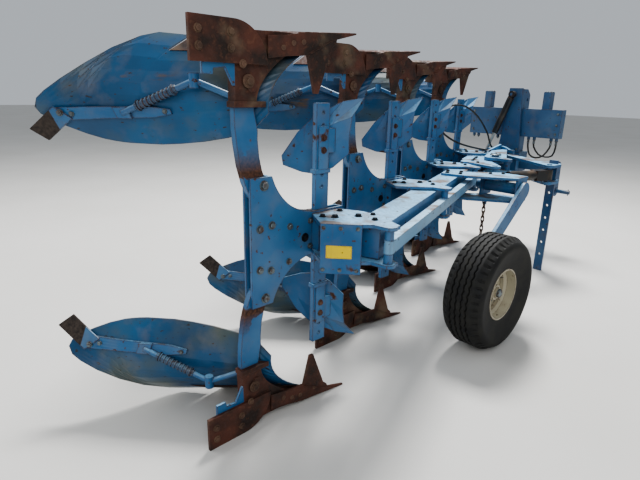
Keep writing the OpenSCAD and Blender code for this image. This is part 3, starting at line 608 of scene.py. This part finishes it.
# %% [markdown]
# ## Wheel nuts and hub
# Six nuts hold the rim on its hub, and a pressed cap closes the bearing. The valve stands in
# the dish of the rim.

# %% Wheel fittings
# the nuts' circle and first angle, and the faces of the rim and the hub, from the wheel's middle
NUT_COUNT, NUT_CIRCLE, NUT_START = 6, 57.0, 0.3
RIM_FACE, HUB_FACE = -17.9, -61.8
VALVE_AT, VALVE_LEAN = Vector((0.088, -0.004, 0.066)), (0.15, -1, 0.1)
bm = bmesh.new()
for i in range(NUT_COUNT):
    a = 2 * math.pi * i / NUT_COUNT + NUT_START
    off = Vector((NUT_CIRCLE * math.cos(a), RIM_FACE, NUT_CIRCLE * math.sin(a))) / MM
    fasten(bm, "nut", WHEEL + off, RIGHT, 10)
cap = turned([(0, 0), (27, 0), (27, 10), (22, 16), (8, 18), (0, 18)], 32)
place(bm, cap, WHEEL + Vector((0, HUB_FACE / MM, 0)), RIGHT)
valve = turned([(0, 0), (5, 0), (5, 12), (3.5, 14), (3.5, 34), (0, 34)], 12)
place(bm, valve, WHEEL + VALVE_AT, VALVE_LEAN)
finished("wheel_nuts", bm, "wheel", zinc)

# %% [markdown]
# ## Bolts on the bodies
# The side plates are bolted through the legs, the legs stand on the cast frogs, and the
# shares and landsides are held by bolts that the soil has rounded. They are listed from the
# share's tip. The console's bolts are dark, and so is the boss on the right side plate.

# %% Bolts of each body
# columns: x, height above or below the beam's middle, radius of the head
CHEEK_BOLTS = [(-494, 68, 14), (-431, 75, 14), (-331, 53, 12), (-336, -109, 12), (-497, -114, 14),
               (-438, -128, 14), (-470, 250, 17), (-470, -250, 17), (-210, 60, 11), (-210, -60, 11)]
# columns: x, y, radius of the head
CONSOLE_BOLTS = [(-69, -116, 14), (5, -139, 10), (-61, -207, 12), (-165, -63, 14), (-200, -20, 12),
                 (-60, 10, 12)]
# the boss: x, height above the beam's middle, its radius and that of its bolt
BOSS_X, BOSS_Z, BOSS_R, BOSS_BOLT_R = -241, -14, 22, 12

for k in BODIES:
    heads = bmesh.new()
    for x, z, r in CHEEK_BOLTS:
        fasten(heads, "bolt", on_body(k, x, CHEEK_Y, BEAM_Z + z), RIGHT, r)
        fasten(heads, "nut", on_body(k, x, CHEEK_LEFT_Y, BEAM_Z + z), LEFT, r)
    finished("cheek_bolts_%d" % k, heads, "body_%d" % k, zinc)
    heads = bmesh.new()
    for x, y, r in CONSOLE_BOLTS:
        fasten(heads, "bolt", on_body(k, x, y, BEAM_Z + PLATE_TOP), UP, r)
        fasten(heads, "nut", on_body(k, x, y, BEAM_Z - PLATE_TOP), DOWN, r)
    boss = on_body(k, BOSS_X, CHEEK_Y, BEAM_Z + BOSS_Z)
    place(heads, fastener("flat", BOSS_R), boss, RIGHT)
    place(heads, fastener("bolt", BOSS_BOLT_R), boss, RIGHT)
    finished("console_bolts_%d" % k, heads, "body_%d" % k, dark_steel)

# %% [markdown]
# ## Clamps of the skimmers
# A small board runs ahead of each share to cut the turf. It is clamped on its stalk, whose
# row of holes sets how deep it goes. The clamp is a plate with two bolts and a strap that
# goes round the stalk.

# %% Skimmer clamps
STALK_X, STALK_FACE, STALK_BACK = -130.0, 62.0, 87.0
STALK_MIDDLE = (STALK_FACE + STALK_BACK) / 2
# height of the middle, then size along x, y and z
STRAP_Z, STRAP = 590, (94, 39, 20)
CLAMP_Z, CLAMP = 485, (60, 8, 192)
# the plate's middle and outer face, to the right of the stalk's face
CLAMP_MIDDLE, CLAMP_FACE = 3, 7
CLAMP_BOLTS_Z = (440, 495)
# edges that turn by more than this many radians are rounded, by this many metres
SHARP, CLAMP_ROUND = 1.0, 0.0025
for k in BODIES:
    clamps, heads = bmesh.new(), bmesh.new()
    for upper in (False, True):
        block(clamps, on_body(k, STALK_X, STALK_MIDDLE, STRAP_Z, upper), STRAP)
        block(clamps, on_body(k, STALK_X, STALK_FACE - CLAMP_MIDDLE, CLAMP_Z, upper), CLAMP)
        for z in CLAMP_BOLTS_Z:
            fasten(heads, "bolt", on_body(k, STALK_X, STALK_FACE - CLAMP_FACE, z, upper), RIGHT, 12)
            fasten(heads, "nut", on_body(k, STALK_X, STALK_BACK, z, upper), LEFT, 11)
    corners = [e for e in clamps.edges if e.calc_face_angle(0.0) > SHARP]
    bmesh.ops.bevel(clamps, geom=corners, offset=CLAMP_ROUND, offset_type="OFFSET", segments=2,
                    profile=0.5, affect="EDGES", material=-1)
    finished("skimmer_clamps_%d" % k, clamps, "body_%d" % k, blue)
    finished("clamp_bolts_%d" % k, heads, "body_%d" % k, rust)

# %% [markdown]
# ## Bolts in the soil
# Where a bolt works in the ground its head is worn and rusty. On the share and the
# mouldboard the heads are countersunk, so only a flat disc shows. The bolts of the rail and
# the strip behind the board are fresh.

# %% Worn bolts of each body
# columns: x, y of the surface, height, radius of the head
GROUND_BOLTS = [(-755, 30, 100, 12), (-755, 30, 45, 12), (-625, 30, 100, 12), (-625, 30, 45, 12),
                (-545, 38, 210, 15), (-575, 30, 150, 12)]
# columns: place along the share's plate, height, radius of the head
SHARE_BOLTS = [(70, 82, 11), (120, 62, 11), (170, 55, 11), (260, 60, 10)]
# columns: place across the board, height, radius of the head
BOARD_BOLTS = [(75, 140, 11), (75, 220, 11), (150, 130, 11), (330, 284, 11), (600, 284, 11),
               (60, 60, 11), (200, 50, 11)]
# columns: place across the board, height, radius, distance of the rail's or strip's back from the face
RAIL_BOLTS = [(672, 345, 11, 27.0), (640, 348, 9, 18.7), (348, 330, 8, 18.7)]
# the boss on the frog, with its radius
FROG_BOSS, FROG_BOSS_R = (-545, 37.5, 210), 27
# the share's plate: its rear end, and the angle at which it runs to the front
PLATE_X, PLATE_Y, PLATE_ANGLE = -455, 32.6, math.radians(-3.3)
plate_normal = (math.sin(PLATE_ANGLE), -math.cos(PLATE_ANGLE), 0)

for k in BODIES:
    worn = bmesh.new()
    fresh = bmesh.new()
    for upper in (False, True):
        for x, y, z, r in GROUND_BOLTS:
            fasten(worn, "bolt", on_body(k, x, y, z, upper), RIGHT, r)
        place(worn, fastener("flat", FROG_BOSS_R), on_body(k, *FROG_BOSS, upper), RIGHT)
        for along, z, r in SHARE_BOLTS:
            x = PLATE_X + along * math.cos(PLATE_ANGLE)
            y = PLATE_Y + along * math.sin(PLATE_ANGLE)
            fasten(worn, "flat", on_body(k, x, y, z, upper), plate_normal, r)
        for y, z, r in BOARD_BOLTS:
            point, normal = face_point(y, z)
            fasten(worn, "flat", on_body(k, *point, upper), normal, r)
        for y, z, r, behind in RAIL_BOLTS:
            point, normal = face_point(y, z, behind)
            fasten(fresh, "bolt", on_body(k, *point, upper), -normal, r)
    finished("worn_bolts_%d" % k, worn, "body_%d" % k, worn_steel)
    finished("rail_bolts_%d" % k, fresh, "body_%d" % k, zinc)

# %% [markdown]
# ## Brackets of the landsides
# The landside is the flat bar that slides along the furrow's wall. Behind it stands a stepped
# plate that ties it to the frog. Its outline is one face, and extruding it gives the thickness.

# %% Landside brackets
BRACKET_Y, BRACKET_T = 45.5, 12.0
# columns: x, height
BRACKET = [(-738, 70), (-738, 190), (-694, 190), (-690, 170), (-642, 164), (-608, 228),
           (-594, 228), (-594, 70)]
for k in BODIES:
    plates = bmesh.new()
    for upper in (False, True):
        verts = [plates.verts.new(on_body(k, x, BRACKET_Y, z, upper)) for x, z in BRACKET]
        edges = [plates.edges.new(pair) for pair in zip(verts, verts[1:] + verts[:1])]
        outline = bmesh.ops.edgeloop_fill(plates, edges=edges)["faces"]
        made = bmesh.ops.extrude_face_region(plates, geom=outline)["geom"]
        far_side = [v for v in made if isinstance(v, bmesh.types.BMVert)]
        bmesh.ops.translate(plates, verts=far_side, vec=(0, BRACKET_T / MM, 0))
    finished("landside_brackets_%d" % k, plates, "body_%d" % k, leg_paint)

# %% [markdown]
# ## Turnbuckles of the stays
# The tail of each mouldboard is set by a stay of adjustable length. Its long sleeve has a
# row of rings, and a lock nut sits at each end of it.

# %% Turnbuckles
# ends of the stay: its joint on the frog, and a place behind the board's face
STAY_JOINT = Vector((-678.0, 205.0, 212.0))
STAY_END = face_point(478, 340, 26.9)[0]
# the sleeve's ends and its first ring, as shares of the stay's length, and the rings' reach
SLEEVE_FROM, SLEEVE_TO, SLEEVE_R = 0.28, 0.76, 15.0
RINGS, RING_FROM, RING_REACH, RING_R = 9, 0.30, 0.44, 19.0
# half of a ring's thickness in metres, and the radius of the lock nuts
RING_HALF, LOCK_NUT_R = 0.004, 17
for k in BODIES:
    sleeves = bmesh.new()
    for upper in (False, True):
        a, b = on_body(k, *STAY_JOINT, upper), on_body(k, *STAY_END, upper)
        run = (b - a).normalized()
        sleeve_start, sleeve_end = a.lerp(b, SLEEVE_FROM), a.lerp(b, SLEEVE_TO)
        bar(sleeves, sleeve_start, sleeve_end, SLEEVE_R)
        for i in range(RINGS):
            middle = a.lerp(b, RING_FROM + RING_REACH * i / (RINGS - 1))
            bar(sleeves, middle - run * RING_HALF, middle + run * RING_HALF, RING_R)
        place(sleeves, fastener("bolt", LOCK_NUT_R), sleeve_start, -run)
        place(sleeves, fastener("bolt", LOCK_NUT_R), sleeve_end, run)
    finished("turnbuckles_%d" % k, sleeves, "body_%d" % k, sleeve_paint)
print("length of a stay rod:", round((b - a).length * MM), "mm")

# %% [markdown]
# ## Plate at the rear end
# A flat plate closes the last console. Three bolts above and three below hold it, and a
# small plain yellow plate sits in its middle.

# %% Rear plate
PLATE_LEFT = Vector((-285.0, -95.0, 0.0))
PLATE_RIGHT = Vector((-165.0, -228.0, 0.0))
run = (PLATE_RIGHT - PLATE_LEFT).normalized()
out = Vector((run.y, -run.x, 0.0))
# rows of bolts: shares of the plate's width, heights over the beam's middle, radius
PLATE_BOLTS, PLATE_BOLTS_Z, PLATE_BOLT_R = (0.08, 0.49, 0.90), (72, -116), 7
# the yellow plate: width, thickness and height, and how far its middle stands off the steel's line
YELLOW, YELLOW_SHARE, YELLOW_Z, YELLOW_OFF = (112, 1.4, 58), 0.46, -34, 5.6


def on_plate(share, z, off=5.0):
    """A point on the rear plate, by its share of the width and its height over the beam."""
    point = PLATE_LEFT.lerp(PLATE_RIGHT, share) + out * off
    return on_body(4, point.x, point.y, BEAM_Z + z)


bm = bmesh.new()
for share in PLATE_BOLTS:
    for z in PLATE_BOLTS_Z:
        fasten(bm, "bolt", on_plate(share, z), out, PLATE_BOLT_R)
finished("plate_bolts", bm, "body_4", zinc)

bm = bmesh.new()
turn = Matrix((run, out, UP)).transposed().to_4x4()
block(bm, on_plate(YELLOW_SHARE, YELLOW_Z, YELLOW_OFF), YELLOW, turn)
finished("warning_plate", bm, "body_4", yellow)

# %% [markdown]
# ## Welds on the bodies
# The curved strips are welded between the side plates, and the plates above and below the
# beam are welded to their web. A seam shows as a thin uneven bead.

# %% Welds of each body
# the curved strip: middle and radius of its arc, where the arc starts and ends in degrees, and
# how far the seams lie inside the side plates' outer faces
STRIP_X, STRIP_Z, STRIP_R, STRIP_FROM, STRIP_TO, STRIP_IN = -175.0, 365.0, 264.5, 198.0, 268.0, 13.0
# the straight seam on the console's plates: rear and front end, height over the beam's middle
SEAM_REAR, SEAM_FRONT, SEAM_Z = -196.0, -34.0, 92.0
for k in BODIES:
    beads = bmesh.new()
    for side in (-1, 1):
        for y in (CHEEK_Y + STRIP_IN, CHEEK_LEFT_Y - STRIP_IN):
            centre = on_body(k, STRIP_X, y, BEAM_Z + side * STRIP_Z)
            weld(beads, arc(centre, STRIP_R, STRIP_FROM * side, STRIP_TO * side), 3.0)
        for y in (CHEEK_Y, CHEEK_LEFT_Y):
            a = on_body(k, SEAM_REAR, y, BEAM_Z + side * SEAM_Z)
            b = on_body(k, SEAM_FRONT, y, BEAM_Z + side * SEAM_Z)
            weld(beads, [a, b], 3.5)
    finished("welds_%d" % k, beads, "body_%d" % k, blue, 1.2)

# %% [markdown]
# ## Headstock fittings
# The hoses end in nuts and ferrules under the cross plate, and four bolts close each of the two
# spring housings. A clip pin stands in each of the pins for the tractor's lower links. Seams
# run along the tower's cheeks, the cross plate and the hitch bar.

# %% Headstock fittings
# the place of a clip on its pin, and half of the clip's length in metres
CLIP_X, CLIP_Y, CLIP_Z, CLIP_HALF = 2135.0, 590, 620.0, 0.030
HOSE_X, HOSES_Y, HOSE_NUT_Z, FERRULE_TOP, FERRULE_FOOT = 2095, (160, 215, 375, 425), 1086, 1070, 1046
FERRULE_R = 11.0
SPRING_X, SPRING_Y, SPRING_TOP, SPRING_BOLT = 2095, 295, 1525, 24
# bolts on the rear of the cross plate, near its ends, and on the rear of the shaft's housing
CROSS_X, CROSS_Y, CROSS_BOLTS_Z = 2050, 420, (1150, 1230, 1330)
HOUSING_X, HOUSING_Y, HOUSING_Z = 2022, 85, 985
# columns: radius of the drops, x, y and z where the seam starts, x, y and z where it ends
HEAD_SEAMS = [(4.0, 2044, 70, 960, 2044, 70, 1545), (4.0, 2060, 259, 1371, 2060, 331, 1371),
              (4.0, 2050, 71, 1112, 2050, 71, 1368), (4.0, 2140, 71, 1112, 2140, 71, 1368),
              (4.5, 2046, 71, 958, 2198, 71, 958), (4.0, 2062, 446, 891, 2140, 446, 891)]
steel = bmesh.new()
welds = bmesh.new()
for side in (-1, 1):
    for y in HOSES_Y:
        place(steel, fastener("nut", 13), world(HOSE_X, side * y, HOSE_NUT_Z), DOWN)
    for y in (-SPRING_BOLT, SPRING_BOLT):
        for x in (-SPRING_BOLT, SPRING_BOLT):
            fasten(steel, "bolt", world(SPRING_X + x, side * SPRING_Y + y, SPRING_TOP), UP, 6)
    clip = world(CLIP_X, side * CLIP_Y, CLIP_Z)
    bar(steel, clip - Vector((0, 0, CLIP_HALF)), clip + Vector((0, 0, CLIP_HALF)), 4.0, 10)
    for z in CROSS_BOLTS_Z:
        fasten(steel, "bolt", world(CROSS_X, side * CROSS_Y, z), BACK, 9)
    for r, x1, y1, z1, x2, y2, z2 in HEAD_SEAMS:
        weld(welds, [world(x1, side * y1, z1), world(x2, side * y2, z2)], r)
for y in (-HOUSING_Y, HOUSING_Y):
    fasten(steel, "bolt", world(HOUSING_X, y, HOUSING_Z), BACK, 9)
for y in HOSES_Y:
    bar(steel, world(HOSE_X, -y, FERRULE_TOP), world(HOSE_X - 1, -y, FERRULE_FOOT), FERRULE_R)
finished("headstock_fittings", steel, "headstock", zinc)
# the headstock's seams take the darker blue, which is painted shade
finished("headstock_welds", welds, "headstock", shaded_blue, 1.2)

# %% [markdown]
# ## Fittings of the turning frame
# The beam hangs on a thick pin, which a bolted cap keeps above and below. The head plate is
# bolted on the turning shaft, two hoses end in ferrules behind it, and the ribs of the fork
# are welded to its plates.

# %% Turning frame fittings
SWING_X, SWING_Y, HEAD_X = 1250.0, -270.0, 1860.0
# the cap's foot and the face under its bolts, from the beam's middle, and the bolts' circle
CAP_Z, CAP_FACE, CAP_CIRCLE, CAP_ANGLES = 134.5, 145.0, 33, (0.4, 1.97, 3.54, 5.11)
HEAD_BOLTS_Y, HEAD_BOLTS_Z = (-112, 112), (-80, 0, 80)
# columns: radius of the drops, x and y where the seam starts, x and y where it ends, height
FORK_SEAMS = [(3.5, HEAD_X - 255, -10.5, HEAD_X, -10.5, 122), (3.5, HEAD_X - 255, 10.5, HEAD_X, 10.5, 122),
              (4.0, HEAD_X - 1, -118, HEAD_X - 1, -14, 120), (4.0, HEAD_X - 1, 14, HEAD_X - 1, 50, 120)]
steel = bmesh.new()
welds = bmesh.new()
cap = turned([(0, 0), (46, 0), (46, 8), (42, 11), (0, 11)], 28)
for side in (-1, 1):
    place(steel, cap, world(SWING_X, SWING_Y, BEAM_Z + side * CAP_Z), (0, 0, side))
    for a in CAP_ANGLES:
        at = world(SWING_X + CAP_CIRCLE * math.cos(a), SWING_Y + CAP_CIRCLE * math.sin(a),
                   BEAM_Z + side * CAP_FACE)
        fasten(steel, "bolt", at, (0, 0, side), 6)
    for r, x1, y1, x2, y2, z in FORK_SEAMS:
        weld(welds, [world(x1, y1, BEAM_Z + side * z), world(x2, y2, BEAM_Z + side * z)], r)
for y in HEAD_BOLTS_Y:
    for z in HEAD_BOLTS_Z:
        fasten(steel, "bolt", world(HEAD_X, y, BEAM_Z + z), BACK, 11)
for y, z in ((62, 106), (35, 136)):
    bar(steel, world(HEAD_X - 26, y, BEAM_Z + z), world(HEAD_X - 68, y, BEAM_Z + z + 0.5), FERRULE_R)
finished("frame_fittings", steel, "turn_frame", zinc)
finished("frame_welds", welds, "turn_frame", blue, 1.2)

# %% [markdown]
# ## Fittings of the beam
# The bracket of the wheel and the plates of the swing pin are bolted on the beam, from above
# and from below.

# %% Beam fittings
# columns: x, y, radius of the head, on the plates of the swing pin
SWING_BOLTS = [(1290, -75, 12), (1225, -100, 12), (1150, -130, 12), (1075, -160, 12),
               (1330, -150, 10), (1000, -250, 11)]
# columns: x, y, radius of the head, on the bracket of the wheel
BRACKET_BOLTS = [(340, -385, 12), (420, -340, 12), (375, -470, 12), (450, -430, 12),
                 (560, -600, 11), (630, -660, 11)]
# faces of those plates and of the bracket, above and below the beam's middle
SWING_FACE, BRACKET_FACE = 90, 86
steel = bmesh.new()
for side in (-1, 1):
    for x, y, r in SWING_BOLTS:
        fasten(steel, "bolt", world(x, y, BEAM_Z + side * SWING_FACE), (0, 0, side), r)
    for x, y, r in BRACKET_BOLTS:
        fasten(steel, "bolt", world(x, y, BEAM_Z + side * BRACKET_FACE), (0, 0, side), r)
finished("beam_fittings", steel, "beam", dark_steel)
print("bolts on the beam:", 2 * (len(SWING_BOLTS) + len(BRACKET_BOLTS)))

# %% [markdown]
# ## The camera
# The camera stands where the photograph was taken from: behind the plough and to its
# right, at the height of a person's eyes, with a wide lens.

# %% Camera
CAMERA_AT = Vector((-2727.0, -2289.0, 1497.0))
HEADING, PITCH_DOWN, ROLL = math.radians(46.23), math.radians(16.96), math.radians(1.28)
LENS, SENSOR = 27.61, 36.0
forward = Vector((math.cos(PITCH_DOWN) * math.cos(HEADING), math.cos(PITCH_DOWN) * math.sin(HEADING),
                  -math.sin(PITCH_DOWN)))
right = Vector((math.sin(HEADING), -math.cos(HEADING), 0.0))
up = right.cross(forward)
camera_x = math.cos(ROLL) * right + math.sin(ROLL) * up
camera_y = math.cos(ROLL) * up - math.sin(ROLL) * right
camera_data = bpy.data.cameras.new("camera")
camera_data.lens = LENS
camera_data.sensor_width = SENSOR
camera = bpy.data.objects.new("camera", camera_data)
camera_turn = Matrix((camera_x, camera_y, -forward)).transposed().to_4x4()
camera.matrix_world = Matrix.Translation(world(*CAMERA_AT)) @ camera_turn
bpy.context.scene.collection.objects.link(camera)
bpy.context.scene.camera = camera
print("camera height:", round(camera.matrix_world.translation.z, 2), "m")

# %% [markdown]
# ## The floor and the light
# The machine stands on a plain pale floor. The light is that of a studio: one strong soft
# lamp high above its front, a weak one from the camera's side, another from behind on the
# left, and a bright sky.

# %% Floor and light
# half the floor's width, and its depth under the machine, in metres
FLOOR_HALF, FLOOR_Z = 40.0, -0.0005
# the lamps look at this height above the ground
AIM_Z = 0.8
SKY_STRENGTH = 0.55
floor_bm = bmesh.new()
bmesh.ops.create_grid(floor_bm, x_segments=1, y_segments=1, size=FLOOR_HALF,
                      matrix=Matrix.Translation((0, 0, FLOOR_Z)))
floor_material, floor_tree, floor_shader = shell_of("floor")
tint = between(floor_tree, noise(floor_tree, 0.8, 4.0), 0.3, 0.7)
floor_colour = mix(floor_tree, tint, colour("#c9c7c2"), colour("#cfcdc9"))
floor_tree.links.new(floor_colour, floor_shader.inputs["Base Color"])
floor_shader.inputs["Roughness"].default_value = 0.9
finished("floor", floor_bm, None, floor_material)


def lamp(name, at, size, power):
    """A square soft lamp that looks at the middle of the machine."""
    data = bpy.data.lights.new(name, "AREA")
    data.size = size
    data.energy = power
    obj = bpy.data.objects.new(name, data)
    obj.matrix_world = Matrix.Translation(at) @ turned_to(Vector(at) - Vector((0.0, 0.0, AIM_Z)))
    bpy.context.scene.collection.objects.link(obj)


# columns: place and size in metres, power in watts
lamp("key_light", (2.5, 1.5, 7.0), 2.0, 900.0)
lamp("fill_light", (-4.5, -4.5, 4.0), 4.0, 150.0)
lamp("side_light", (-5.0, 4.5, 4.0), 4.0, 160.0)
sky = bpy.data.worlds.new("sky")
sky.use_nodes = True
sky.node_tree.nodes["Background"].inputs["Color"].default_value = colour("#e3e9f0")
sky.node_tree.nodes["Background"].inputs["Strength"].default_value = SKY_STRENGTH
bpy.context.scene.world = sky
bpy.context.scene.view_settings.view_transform = "AgX"
bpy.context.scene.view_settings.look = "AgX - Medium High Contrast"
